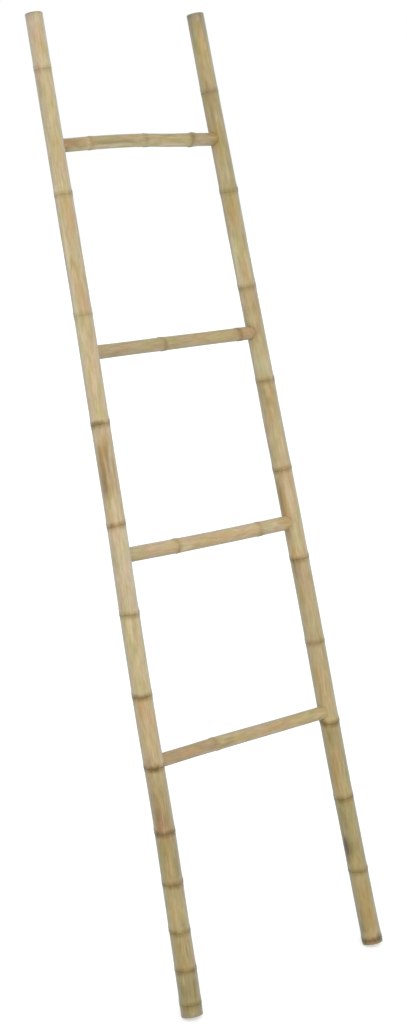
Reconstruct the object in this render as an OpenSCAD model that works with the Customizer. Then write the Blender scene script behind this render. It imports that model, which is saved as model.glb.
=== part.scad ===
// Bamboo towel ladder: two hollow poles, four rungs set into drilled sockets,
// and a bamboo peg through the back of each joint.
// It stands as it is used, with its feet on the floor and its top leaning back towards +Y.

/* [Ladder] */
// Length of each rail, from its sawn foot to its sawn top
rail_length = 1900; // [1800:10:2200]
// Distance between the rails' centre lines at the feet
foot_spacing = 473; // [440:1:540]
// Distance between the rails' centre lines at the top
top_spacing = 392; // [360:1:430]
// Angle by which the ladder leans back from upright
lean = 15.6; // [8:0.1:25]

/* [Rails] */
// Diameter of the left rail at its foot
left_foot_d = 42; // [38:0.5:46]
// Diameter of the left rail at its top
left_top_d = 34; // [32:0.5:38]
// Diameter of the right rail at its foot
right_foot_d = 41; // [38:0.5:46]
// Diameter of the right rail at its top
right_top_d = 34.5; // [32:0.5:38]
// Thickness of a rail's wall
rail_wall = 5; // [4:0.5:7]

/* [Rungs] */
// Height of the lowest rung, measured along the ladder
first_rung = 481; // [420:1:540]
// Distance from the top of the rails down to the top rung, measured along the ladder
top_rung_drop = 251; // [200:1:320]
// Diameter of the lowest rung
rung_1_d = 27; // [22:0.5:29]
// Diameter of the second rung
rung_2_d = 28.5; // [22:0.5:29]
// Diameter of the third rung
rung_3_d = 26; // [22:0.5:29]
// Diameter of the top rung
rung_4_d = 26; // [22:0.5:28]
// Thickness of a rung's wall
rung_wall = 3.5; // [2.5:0.5:5]
// How far a rung runs into a rail past the rail's centre line
tenon_reach = 6; // [3:0.5:7]

/* [Joints of the cane] */
// How far the ring at a joint of the cane stands out
ring_rise = 1; // [0.5:0.1:1.6]
// Length of cane over which a ring swells and fades again
ring_length = 14; // [8:1:20]
// Thickness of the wall that closes the cane inside each joint
septum = 4; // [2:0.5:6]
// Width of the eased edge round each sawn end
edge_break = 0.6; // [0.2:0.1:1.2]

/* [Pegs] */
// Diameter of a locking peg
peg_d = 4; // [3:0.5:6]
// How far a peg goes into its rung
peg_depth = 10; // [6:0.5:12]
// How far a peg's end stands out of the back of the rail
peg_proud = 0.5; // [0.2:0.1:1.5]

/* [Fits] */
// Gap all round a rung in its socket, and at its end
socket_clearance = 0.05; // [0.03:0.01:0.1]
// Gap all round a peg in its hole
peg_clearance = 0.04; // [0.03:0.01:0.1]

/* [Hidden] */
$fn = 96;

LEFT = -1;
RIGHT = 1;

// The joints of each pole, as they grew: up the rails from the foot,
// and along the rungs from the middle of the rung towards +X
left_joints = [20, 87, 158, 251, 348, 470, 607, 762, 931, 1125, 1329, 1557, 1793];
right_joints = [8, 150, 301, 457, 623, 794, 976, 1158, 1348, 1540, 1741];
rung_joints = [[-76], [-84, 126], [-31, 163], [-122, 10, 126]];

// The ring at a joint: a slow rise, a sharp scar, and a lower swelling above it,
// as shares of ring_length and ring_rise
ring_outline = [[-0.45, 0], [-0.1, 0.45], [-0.06, 1], [0.06, 1], [0.1, 0.45], [0.28, 0.6], [0.55, 0]];

// How far each rail turns inwards, and how high the lean lifts the middle of a foot
// when the edge nearest the wall touches the floor
splay = asin((foot_spacing - top_spacing) / 2 / rail_length);
foot_face_r = max(left_foot_d, right_foot_d) / 2 - edge_break;
foot_rise = foot_face_r * sqrt(1 - pow(cos(lean) * cos(splay), 2));

// The rungs share the length between the lowest and the top one evenly, but for the
// millimetre or two by which a hole was marked off its place
rung_count = 4;
rung_off = [0, 1.5, -2, 0];
rung_pitch = (rail_length - top_rung_drop - first_rung) / (rung_count - 1);

// Height of rung number i, counted from 1 at the bottom, and the rails' spacing there
function rung_height(i) = first_rung + (i - 1) * rung_pitch + rung_off[i - 1];
function spacing_at(height) = foot_spacing - 2 * height * tan(splay);

function rung_d(i) = [rung_1_d, rung_2_d, rung_3_d, rung_4_d][i - 1];
function foot_d(side) = side == LEFT ? left_foot_d : right_foot_d;
function top_d(side) = side == LEFT ? left_top_d : right_top_d;
function rail_r(side, height) =
    (foot_d(side) + (top_d(side) - foot_d(side)) * height / rail_length) / 2;

// Joints that have room for their whole ring between two places on a pole
function joints_between(joints, low, high) =
    [for (z = joints) if (z - 0.45 * ring_length > low && z + 0.55 * ring_length < high) z];

// The outside of a pole with its rings, as [radius, distance along the pole]
function outside(start_r, end_r, length, joints) =
    let (slope = (end_r - start_r) / length)
    concat(
        [[0, 0], [start_r - edge_break, 0], [start_r + slope * edge_break, edge_break]],
        [for (z = joints, p = ring_outline)
            let (along = z + p[0] * ring_length)
            [start_r + slope * along + p[1] * ring_rise, along]],
        [[end_r - slope * edge_break, length - edge_break], [end_r - edge_break, length], [0, length]]
    );

// A hollow pole along +Z, closed inside at each joint and open at both ends
module cane(start_d, end_d, length, wall, joints) {
    past = 1;
    slope = (end_d - start_d) / 2 / length;
    stops = concat([-past - septum / 2], joints, [length + past + septum / 2]);
    difference() {
        rotate_extrude() polygon(outside(start_d / 2, end_d / 2, length, joints));
        for (k = [0:len(stops) - 2]) {
            low = stops[k] + septum / 2;
            high = stops[k + 1] - septum / 2;
            translate([0, 0, low])
                cylinder(
                    h = high - low,
                    r1 = start_d / 2 - wall + slope * low,
                    r2 = start_d / 2 - wall + slope * high
                );
        }
    }
}

// Puts what is drawn in the ladder's own plane, X along the rungs and Z up the ladder,
// where it stands leaning
module leaning() {
    translate([0, 0, foot_rise]) rotate([-lean, 0, 0]) children();
}

// The space that rung i takes in a rail, wider by the socket's clearance
module socket(i, side) {
    height = rung_height(i);
    deep = tenon_reach + socket_clearance;
    translate([side * spacing_at(height) / 2, 0, height])
        rotate([0, -side * 90, 0])
            translate([0, 0, -deep])
                cylinder(h = deep + foot_d(side), d = rung_d(i) + 2 * socket_clearance);
}

// The peg of one joint, from inside the rung to the back of the rail
module peg_shape(i, side, clearance) {
    height = rung_height(i);
    inner = rung_d(i) / 2 - peg_depth;
    outer = rail_r(side, height) + peg_proud;
    translate([side * spacing_at(height) / 2, inner, height])
        rotate([-90, 0, 0])
            cylinder(h = outer - inner, d = peg_d + 2 * clearance);
}

module rail(side, joints) {
    leaning() difference() {
        translate([side * foot_spacing / 2, 0, 0])
            rotate([0, -side * splay, 0])
                cane(foot_d(side), top_d(side), rail_length, rail_wall,
                    joints_between(joints, edge_break, rail_length - edge_break));
        for (i = [1:rung_count]) {
            socket(i, side);
            peg_shape(i, side, peg_clearance);
        }
    }
}

module rung(i) {
    height = rung_height(i);
    span = spacing_at(height);
    length = span + 2 * tenon_reach;
    bare = span / 2 - max(rail_r(LEFT, height), rail_r(RIGHT, height));
    joints = [for (x = joints_between(rung_joints[i - 1], -bare, bare)) x + length / 2];
    leaning() difference() {
        translate([-length / 2, 0, height])
            rotate([0, 90, 0])
                cane(rung_d(i), rung_d(i), length, rung_wall, joints);
        for (side = [LEFT, RIGHT]) peg_shape(i, side, peg_clearance);
    }
}

module peg(i, side) {
    leaning() peg_shape(i, side, 0);
}

module rail_left() { color("#cdbd92") rail(LEFT, left_joints); }
module rail_right() { color("#b9ab7e") rail(RIGHT, right_joints); }

module rung_1() { color("#c9b68c") rung(1); }
module rung_2() { color("#c8bd90") rung(2); }
module rung_3() { color("#b8a67c") rung(3); }
module rung_4() { color("#bfa874") rung(4); }

module peg_left(i) { color("#8f7a4e") peg(i, LEFT); }
module peg_right(i) { color("#8f7a4e") peg(i, RIGHT); }

rail_left();
rail_right();
rung_1();
rung_2();
rung_3();
rung_4();
peg_left(1);  // peg_1_left
peg_right(1);  // peg_1_right
peg_left(2);  // peg_2_left
peg_right(2);  // peg_2_right
peg_left(3);  // peg_3_left
peg_right(3);  // peg_3_right
peg_left(4);  // peg_4_left
peg_right(4);  // peg_4_right
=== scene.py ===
"""Bamboo towel ladder: the natural canes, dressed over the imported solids.

Each pole is one closed mesh made in its own straight frame, where z runs along the pole and x, y
cross it, in millimetres. It is then bowed as it grew and set where its solid stands.
"""

import math
from dataclasses import dataclass, field
from typing import NamedTuple

import bmesh
import bpy
import numpy as np
from mathutils import Matrix, Vector


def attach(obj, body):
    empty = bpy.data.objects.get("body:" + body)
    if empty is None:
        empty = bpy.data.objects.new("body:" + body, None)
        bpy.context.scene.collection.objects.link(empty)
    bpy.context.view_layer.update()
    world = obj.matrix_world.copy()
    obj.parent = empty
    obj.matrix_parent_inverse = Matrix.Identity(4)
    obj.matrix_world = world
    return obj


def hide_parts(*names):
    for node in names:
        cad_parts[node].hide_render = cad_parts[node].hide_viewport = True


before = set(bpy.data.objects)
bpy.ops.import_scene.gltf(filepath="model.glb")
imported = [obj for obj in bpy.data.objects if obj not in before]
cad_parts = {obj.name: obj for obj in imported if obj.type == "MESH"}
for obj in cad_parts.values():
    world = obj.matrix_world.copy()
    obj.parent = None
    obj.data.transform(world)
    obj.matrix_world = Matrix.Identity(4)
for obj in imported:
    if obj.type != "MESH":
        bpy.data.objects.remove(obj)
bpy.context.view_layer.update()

# Sizes of the ladder, in millimetres and degrees
RAIL_LENGTH = 1900
FOOT_SPACING = 473
TOP_SPACING = 392
LEAN = 15.6
FIRST_RUNG = 481
TOP_RUNG_DROP = 251
RUNG_COUNT = 4
RUNG_OFF = (0, 1.5, -2, 0)
LEFT_FOOT_D = 42
RAIL_WALL = 5
RUNG_WALL = 3.5
TENON_REACH = 6
SEPTUM = 4
EDGE_BREAK = 0.6
SOCKET_GAP = 0.15
PEG_D = 4
PEG_GAP = 0.1
PEG_DEPTH = 10
PEG_PROUD = 0.6
PEG_HOLE_R = PEG_D / 2 + PEG_GAP
LEFT, RIGHT = -1, 1

# The lowest part of a foot is the edge nearest the wall, so the middle of the foot stands this high
FOOT_FACE_R = LEFT_FOOT_D / 2 - EDGE_BREAK
SPLAY = math.asin((FOOT_SPACING - TOP_SPACING) / 2 / RAIL_LENGTH)
FOOT_RISE = FOOT_FACE_R * math.sqrt(1 - (math.cos(math.radians(LEAN)) * math.cos(SPLAY)) ** 2)
RUNG_PITCH = (RAIL_LENGTH - TOP_RUNG_DROP - FIRST_RUNG) / (RUNG_COUNT - 1)

# How finely the meshes are cut. Rows lie close together round a joint of the cane, but not closer
# than LEAST_GAP
RAIL_SEGMENTS = 56
RUNG_SEGMENTS = 44
PEG_SEGMENTS = 18
HOLE_SEGMENTS = 24
SOCKET_SEGMENTS = 48
ROW_GAP = 8
LEAST_GAP = 0.25
RING_ROWS = (-15, -10, -7, -5, -3.4, -2.3, -1.5, -0.9, -0.4, 0, 0.4, 0.9, 1.5, 2.2,
             3, 3.8, 4.6, 5.4, 6.2, 7.2, 8.5, 11, 15)
RING_REACH = 18

# A row this near to a joint is tipped like its ring, and less so up to twice as far. Within
# TIP_LEVELS of a sawn end it levels out
TIP_REACH = 20
TIP_LEVELS = 8

# The angle between faces that shows as a sharp edge
SHARP_EDGE = math.radians(38)

# How far the tools that cut sockets and holes run out past a rail's middle
CUTTER_REACH = RAIL_LENGTH / 30

# How far from round and even a cane grows, as shares of its radius, and over what lengths that changes
OVAL = 0.006
THREE_SIDED = 0.004
RIPPLE = 0.003
TWIST_LENGTH = 190
RIPPLE_LENGTH = 37

# The ring at a joint: a sharp scar left by the leaf sheath, a neck above it and a slow swelling
SCAR_RISE = 0.55
SCAR_WIDTH = 0.8
NECK_DEPTH = 0.25
NECK_ABOVE = 2
NECK_WIDTH = 1.2
SWELL_ABOVE = 4
SWELL_WIDTH = 7
LOWER_SWELL = 0.1

# The stub of a cut branch: its size as shares of the cane's radius, how far above the scar it is,
# and the sides that branches grow from in turn
STUB_WIDE = 0.19
STUB_HIGH = 0.15
STUB_RISE = 0.035
STUB_ABOVE = 4.8
BRANCH_SIDES = (-105, 75)

# The groove that runs up the cane above a branch: its spread round the cane in radians, where it
# starts, over what length it deepens, and its share of the length between two joints
GROOVE_SPREAD = 0.4
GROOVE_STARTS = 8
GROOVE_DEEPENS = 12
GROOVE_SHARE = 0.7

# Ground tones of dry bamboo skin, from the palest to the darkest
CREAM = "#cbba98"
STRAW = "#c5b289"
SAND = "#c0a97f"
KHAKI = "#b6a277"
HAY = "#b1a070"
TAN = "#b09669"
OLIVE = "#a99767"
MOSS = "#a09260"
MUD = "#93805a"

# Colours of the marks on it
PALE = "#dccfae"
YELLOW = "#bfae74"
GREEN = "#b1b283"
FERN = "#877a4c"
PINK = "#caa68c"
LILAC = "#b8a49a"
AMBER = "#c0925a"
OCHRE = "#a38433"
RUST = "#9c6f45"
BROWN = "#7d6342"
DARK = "#56432b"
SCAR = "#4f3a14"
GREY = "#8f8577"

# Tones of sawn bamboo, under the skin and deeper, and of a split peg
CUT_RIND = "#b7a074"
CUT_PITH = "#d3c194"
SPLIT_DARK = "#87683f"
SPLIT_PALE = "#b49a68"

# Casts that shade the skin where they lie, as shares of red, green and blue
OLIVE_CAST = (0.85, 0.93, 0.64, 1)
ROSY_CAST = (1.06, 0.93, 0.92, 1)
TAN_CAST = (0.98, 0.84, 0.66, 1)
GREY_CAST = (0.93, 0.93, 1.06, 1)
STAIN_CAST = (0.80, 0.70, 0.58, 1)
FIBRE_CAST = (0.80, 0.76, 0.68, 1)
BAND_CAST = (0.43, 0.34, 0.04, 1)

# A painted sheen: a lighter, bluer stripe along the two sides of a cane, where a waxy skin seen aslant
# shows a sheen, as turns away from the face that the photograph shows, and what it adds to red, green
# and blue
PAINTED_SHEEN_STARTS, PAINTED_SHEEN_FULL, PAINTED_SHEEN_FADES, PAINTED_SHEEN_ENDS = np.radians((20, 66, 80, 125))
PAINTED_SHEEN = (0.010, 0.029, 0.048)

# The waxy haze that the skin shows where it is seen aslant
SHEEN_ROUGHNESS = 0.5
SHEEN_TINT = (0.72, 0.85, 1, 1)

# How far a mark fades out along and across the cane, and how far its edge wavers along and across,
# as shares of its length and width
MARK_ENDS, MARK_SIDES = 0.55, 0.6
MARK_DRIFT, MARK_WAVER = 0.1, 0.12

# The lengths over which it wavers
WAVER_LENGTH, SHORT_WAVER_LENGTH = 23, 9

# The length over which the skin's tone changes at a joint
TONE_CHANGE = 8

# How far the grime and painted shade round a rung's joint spread over the rail and along the rung
RAIL_GRIME_AND_SHADE, RUNG_GRIME_AND_SHADE = 2.5, 4

# How far apart the canes lie in the noise, so that no two look alike
NOISE_SHIFT = 300


class Joint(NamedTuple):
    """A joint of the cane: its place, how far its ring slants across the face that the photograph
    shows, how much the cane swells above it, how dark it is, how far the ring dips on that face, and
    the side its branch grew from, in degrees round from that face, where it isn't the usual one."""

    along: float
    slant: float = 0.0
    swell: float = 0.5
    dark: float = 0.5
    dip: float = 0.0
    branch: float | None = None


class Mark(NamedTuple):
    """A patch of colour on the skin. across is -1 to 1 over the face that the photograph shows: left
    to right on a rail, top to bottom on a rung. length is along the pole, width is across it."""

    colour: str
    along: float
    across: float
    length: float
    width: float
    strength: float


def as_marks(rows):
    """The marks that rows describe, which give across and strength in hundredths."""
    marks = [Mark(*row) for row in rows]
    return [m._replace(across=m.across / 100, strength=m.strength / 100) for m in marks]


@dataclass
class Cane:
    """One pole. girth is its diameter and bow how far it strays from straight, as (place, value)
    points along it. facing is the angle of the face that the photograph shows. What isn't given is
    as on a rail."""

    node: str
    slot: str
    seed: int
    facing: float
    girth: list
    bow: list
    bow_axis: tuple
    joints: list
    tones: list
    marks: list
    place: Matrix
    low: float = 0
    high: float = RAIL_LENGTH
    wall: float = RAIL_WALL
    segments: int = RAIL_SEGMENTS
    groove: float = 0.45
    sockets: list = field(default_factory=list)
    pegs: list = field(default_factory=list)


def linear(colour):
    """A hex colour as the linear red, green and blue that shaders use."""
    values = [int(colour[i : i + 2], 16) / 255 for i in (1, 3, 5)]
    return [v / 12.92 if v <= 0.04045 else ((v + 0.055) / 1.055) ** 2.4 for v in values]


def curve(points, at):
    """A smooth line through a few (place, value) points, level beyond the first and last."""
    places, values = np.array(points, float).T
    slopes = np.gradient(values, places)
    k = np.clip(np.searchsorted(places, at) - 1, 0, len(places) - 2)
    gap = places[k + 1] - places[k]
    t = np.clip((at - places[k]) / gap, 0, 1)
    from_low = values[k] * (1 + 2 * t) * (1 - t) ** 2 + slopes[k] * gap * t * (1 - t) ** 2
    from_high = values[k + 1] * t * t * (3 - 2 * t) - slopes[k + 1] * gap * t * t * (1 - t)
    return from_low + from_high


def bell(distance, width):
    """1 at no distance, falling smoothly to nothing over about twice the width."""
    return np.exp(-((distance / width) ** 2))


def turn_between(angle, other):
    """The turn from one angle to another, between minus and plus half a turn."""
    return (angle - other + math.pi) % (2 * math.pi) - math.pi


def rung_height(i):
    return FIRST_RUNG + (i - 1) * RUNG_PITCH + RUNG_OFF[i - 1]


def spacing_at(height):
    return FOOT_SPACING - 2 * height * math.tan(SPLAY)


def ladder_to_world():
    """The ladder's own plane, X along the rungs and Z up the ladder, to where it leans."""
    return Matrix.Translation((0, 0, FOOT_RISE)) @ Matrix.Rotation(math.radians(-LEAN), 4, "X")


def rail_place(side):
    """From a rail's own frame to the ladder's plane."""
    return Matrix.Translation((side * FOOT_SPACING / 2, 0, 0)) @ Matrix.Rotation(-side * SPLAY, 4, "Y")


def rung_place(i):
    """From a rung's own frame to the ladder's plane: x faces the room and y points down the ladder."""
    axes = Matrix(((0, 0, 1), (-1, 0, 0), (0, -1, 0))).to_4x4()
    return Matrix.Translation((0, 0, rung_height(i))) @ axes


# Shape of a cane


def ring_lift(cane, joint, angle):
    """How much higher a joint's ring lies at an angle round the cane than on its face."""
    turn = angle - cane.facing
    return joint.slant * np.sin(turn) + joint.dip * (1 - np.cos(turn))


def above_joint(cane, joint, along, angle):
    """How far a point is above a joint's scar, which may run aslant round the cane."""
    return along - joint.along - ring_lift(cane, joint, angle)


def from_branch(cane, k, angle):
    """The turn from the side where the branch at joint number k grew. They take turns up the cane."""
    side = cane.joints[k].branch
    if side is None:
        side = BRANCH_SIDES[k % 2]
    return turn_between(angle, cane.facing + math.radians(side))


def from_stub(cane, k, above, angle):
    """How far a point is from the middle of the cut branch at joint number k, 1 at its edge."""
    radius = curve(cane.girth, cane.joints[k].along) / 2
    up = (above - STUB_ABOVE) / (STUB_HIGH * radius)
    return np.hypot(from_branch(cane, k, angle) / STUB_WIDE, up)


def skin_radius(cane, along, angle):
    """Outer radius of a cane at a place along it and an angle round it."""
    even = curve(cane.girth, along) / 2
    uneven = OVAL * np.cos(2 * (angle - cane.seed))
    uneven = uneven + THREE_SIDED * np.cos(3 * angle + along / TWIST_LENGTH + cane.seed)
    uneven = uneven + RIPPLE * np.sin(along / RIPPLE_LENGTH + 2 * np.sin(angle + cane.seed))
    radius = even * (1 + uneven)
    ends = [joint.along for joint in cane.joints[1:]] + [cane.high]
    for k, (joint, end) in enumerate(zip(cane.joints, ends)):
        above = above_joint(cane, joint, along, angle)
        radius = radius + joint.swell * bell(above - SWELL_ABOVE, SWELL_WIDTH)
        radius = radius + LOWER_SWELL * joint.swell * bell(above + SWELL_ABOVE, SWELL_WIDTH)
        radius = radius + SCAR_RISE * bell(above, SCAR_WIDTH)
        radius = radius - NECK_DEPTH * bell(above - NECK_ABOVE, NECK_WIDTH)
        radius = radius + STUB_RISE * even / (1 + from_stub(cane, k, above, angle) ** 6)
        fade = np.clip((above - GROOVE_STARTS) / GROOVE_DEEPENS, 0, 1)
        fade = fade * np.clip(1 - above / (GROOVE_SHARE * (end - joint.along)), 0, 1)
        radius = radius - cane.groove * bell(from_branch(cane, k, angle), GROOVE_SPREAD) * fade
    return radius


def bore_radius(cane, along):
    return curve(cane.girth, along) / 2 - cane.wall


def row_places(cane):
    """Where the rows of a cane's mesh lie: even along an internode and close together at a ring."""
    first, last = cane.low + EDGE_BREAK, cane.high - EDGE_BREAK
    near = [joint.along + step for joint in cane.joints for step in RING_ROWS]
    plain = np.arange(first, last, ROW_GAP)
    reach = np.min([np.abs(plain - joint.along) for joint in cane.joints], axis=0)
    plain = plain[reach > RING_REACH]
    places = np.unique(np.concatenate([plain, near, [first, last]]))
    places = places[(places >= first) & (places <= last)]
    keep = np.concatenate([[True], np.diff(places) > LEAST_GAP])
    keep[-1] = True
    return places[keep]


def slanted(cane, place, angle):
    """The row at one place along a cane, tipped to follow the slant of a ring close by."""
    along = np.full(len(angle), float(place))
    from_end = min(place - cane.low, cane.high - place) - EDGE_BREAK
    for joint in cane.joints:
        hold = np.clip(2 - abs(place - joint.along) / TIP_REACH, 0, 1)
        hold = hold * np.clip(from_end / TIP_LEVELS, 0, 1)
        along += ring_lift(cane, joint, angle) * hold
    return along


def open_end(cane, end, inwards, angle):
    """The sawn end of a cane, from its outer edge to the wall that closes it at the first joint.
    Each loop is (places along, radii)."""
    count = len(angle)
    first_joint = cane.joints[0 if inwards > 0 else -1].along
    depth = abs(first_joint - end) - SEPTUM / 2
    ragged = 0.15 * np.sin(5 * angle + cane.seed) + 0.1 * np.sin(13 * angle)

    def loop(down, radius):
        return np.full(count, end + inwards * down), radius * np.ones(count)

    rim = skin_radius(cane, np.full(count, float(end)), angle) - EDGE_BREAK
    bore = bore_radius(cane, end)
    deep_bore = bore_radius(cane, end + inwards * depth)
    return [
        loop(0, rim - 0.05 * ragged),
        loop(0, (rim + bore) / 2),
        loop(0, bore + 0.5),
        loop(0.5, bore + ragged),
        loop(0.3 * depth, bore + 0.2 * (deep_bore - bore)),
        loop(depth - 3, deep_bore),
        loop(depth - 0.8, deep_bore - 0.8),
        loop(depth, deep_bore - 2.5),
        loop(depth + 0.5, 0.5 * deep_bore),
    ]


def cane_bmesh(cane):
    """The closed mesh of a cane in its own frame: outside, sawn ends and open hollows."""
    angle = np.linspace(0, 2 * math.pi, cane.segments, endpoint=False)
    outer = []
    for place in row_places(cane):
        along = slanted(cane, place, angle)
        outer.append((along, skin_radius(cane, along, angle)))
    low_end = open_end(cane, cane.low, 1, angle)
    high_end = open_end(cane, cane.high, -1, angle)
    return turned(low_end[::-1] + outer + high_end, angle)


def turned(loops, angle):
    """A closed mesh through loops of (places along, radii), with a point in the middle of each end."""
    bm = bmesh.new()
    rings = [
        [bm.verts.new((r * math.cos(a), r * math.sin(a), z)) for a, z, r in zip(angle, along, radius)]
        for along, radius in loops
    ]
    bottom = bm.verts.new((0, 0, loops[0][0].mean()))
    top = bm.verts.new((0, 0, loops[-1][0].mean()))
    for a in range(len(angle)):
        b = (a + 1) % len(angle)
        for lower, upper in zip(rings, rings[1:]):
            bm.faces.new((lower[a], lower[b], upper[b], upper[a]))
        bm.faces.new((bottom, rings[0][b], rings[0][a]))
        bm.faces.new((top, rings[-1][a], rings[-1][b]))
    return bm


def rod(radius, start, end, segments):
    """A plain round cutter between two points."""
    start, end = Vector(start), Vector(end)
    bm = bmesh.new()
    turn = (end - start).to_track_quat("Z", "Y").to_matrix().to_4x4()
    bmesh.ops.create_cone(
        bm,
        cap_ends=True,
        segments=segments,
        radius1=radius,
        radius2=radius,
        depth=(end - start).length,
        matrix=Matrix.Translation((start + end) / 2) @ turn,
    )
    return bm


def into_scene(name, data):
    made = bpy.data.objects.new(name, data)
    bpy.context.scene.collection.objects.link(made)
    return made


def to_mesh(bm, name):
    mesh = bpy.data.meshes.new(name)
    bm.to_mesh(mesh)
    bm.free()
    return mesh


def points_of(mesh):
    co = np.zeros(len(mesh.vertices) * 3)
    mesh.vertices.foreach_get("co", co)
    return co.reshape(-1, 3)


def drilled(mesh, cutters):
    """The mesh with a set of separate cutters taken out of it."""
    joined = bmesh.new()
    for cutter in cutters:
        part = to_mesh(cutter, "cutter_part")
        joined.from_mesh(part)
        bpy.data.meshes.remove(part)
    block = into_scene("block", mesh)
    tool = into_scene("tool", to_mesh(joined, "tool"))
    cut = block.modifiers.new("cut", "BOOLEAN")
    cut.operation = "DIFFERENCE"
    cut.solver = "EXACT"
    cut.object = tool
    bpy.context.view_layer.update()
    result = bpy.data.meshes.new_from_object(block.evaluated_get(bpy.context.evaluated_depsgraph_get()))
    for o in (block, tool):
        bpy.data.objects.remove(o)
    return result


# Colour of a cane, worked out at each point of its mesh


def wobble(cane, along, angle):
    """A slow waver that keeps the edges of marks from being regular."""
    slow = np.sin(along / WAVER_LENGTH + 3 * angle + cane.seed)
    return slow + 0.6 * np.sin(along / SHORT_WAVER_LENGTH - 5 * angle)


def ground_colour(cane, along, angle):
    """The skin's colour: one tone for each internode, a painted sheen along its two sides, then the
    marks over it.
    """
    tones = np.array([linear(tone) for tone in cane.tones])
    colour = np.tile(tones[0], (len(along), 1))
    for joint, tone in zip(cane.joints, tones[1:]):
        past = np.clip((along - joint.along) / TONE_CHANGE + 0.5, 0, 1)[:, None]
        colour = colour * (1 - past) + tone * past
    # Painted sheen: a lighter, bluer stripe along each side of the cane
    turn = np.abs(turn_between(angle, cane.facing))
    painted_sheen = np.interp(turn, (PAINTED_SHEEN_STARTS, PAINTED_SHEEN_FULL, PAINTED_SHEEN_FADES, PAINTED_SHEEN_ENDS), (0, 1, 1, 0))
    colour = colour + painted_sheen[:, None] * PAINTED_SHEEN
    for n, mark in enumerate(cane.marks):
        middle = cane.facing + math.asin(mark.across)
        off = turn_between(angle, middle) * curve(cane.girth, along) / 2
        off = off + MARK_WAVER * mark.width * wobble(cane, along + 40 * n, angle)
        down = along - mark.along + MARK_DRIFT * mark.length * wobble(cane, 3 * along, angle + n)
        ends = np.exp(-np.abs(down / (MARK_ENDS * mark.length)) ** 3)
        weight = (mark.strength * ends * bell(off, MARK_SIDES * mark.width))[:, None]
        colour = colour * (1 - weight) + np.array(linear(mark.colour)) * weight
    return colour


def nearest_ring(cane, along, angle):
    """For each point: how far it is above the nearest scar, how dark that is, and how far it is from
    the branch that was cut off there."""
    above = np.array([above_joint(cane, joint, along, angle) for joint in cane.joints])
    nearest = np.abs(above).argmin(axis=0)
    points = np.arange(len(along))
    dark = np.array([joint.dark for joint in cane.joints])[nearest]
    stub = np.array([from_stub(cane, k, above[k], angle) for k in range(len(cane.joints))])
    return above[nearest, points], dark, stub[nearest, points]


def socket_grime_and_shade(cane, along, x, y):
    """Grime and painted shade where a rung meets a rail: round each socket of a rail, or near each end
    of a rung.
    """
    grime_and_shade = np.zeros(len(along))
    for place, inwards, reach in cane.sockets:
        off = np.hypot(y, along - place) - reach
        grime_and_shade = np.maximum(grime_and_shade, np.where(x * inwards > 0, bell(off, RAIL_GRIME_AND_SHADE), 0))
    if not cane.sockets:
        for place, rail_radius in cane.pegs:
            grime_and_shade = np.maximum(grime_and_shade, bell(np.abs(along - place) - rail_radius, RUNG_GRIME_AND_SHADE))
    return grime_and_shade


def set_attribute(mesh, name, values):
    """Stores a number, a vector or a colour with its alpha for each point of a mesh."""
    kinds = {(): ("FLOAT", "value"), (3,): ("FLOAT_VECTOR", "vector"), (4,): ("FLOAT_COLOR", "color")}
    kind, field_name = kinds[values.shape[1:]]
    attribute = mesh.attributes.new(name, kind, "POINT")
    attribute.data.foreach_set(field_name, np.ascontiguousarray(values, np.float32).ravel())


def paint(cane, mesh):
    """Writes what the shader reads at each point of a cane's mesh."""
    x, y, along = points_of(mesh).T
    angle = np.arctan2(y, x)
    above, dark, stub = nearest_ring(cane, along, angle)
    shift = NOISE_SHIFT * cane.seed
    read_by_shader = {
        "cane": np.stack([x + shift, y - shift, along + shift], axis=1) / 1000,
        "ring": above,
        "near": np.abs(above),
        "scar": dark,
        "stub": np.minimum(stub, 4),
        "depth": skin_radius(cane, along, angle) - np.hypot(x, y),
        "end": np.minimum(along - cane.low, cane.high - along),
        "ground": np.hstack([ground_colour(cane, along, angle), np.ones((len(along), 1))]),
        "grime_and_shade": socket_grime_and_shade(cane, along, x, y),
    }
    for name, values in read_by_shader.items():
        set_attribute(mesh, name, values)


def set_in_place(cane, mesh):
    """Bows the straight cane and moves it, in metres, to where its solid stands."""
    co = points_of(mesh)
    bow = curve(cane.bow, co[:, 2])
    co = co + bow[:, None] * np.array(cane.bow_axis)
    world = np.array(ladder_to_world() @ cane.place)
    co = co @ world[:3, :3].T + world[:3, 3]
    mesh.vertices.foreach_set("co", (co / 1000).astype(np.float32).ravel())
    mesh.update()


# Shaders


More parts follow.
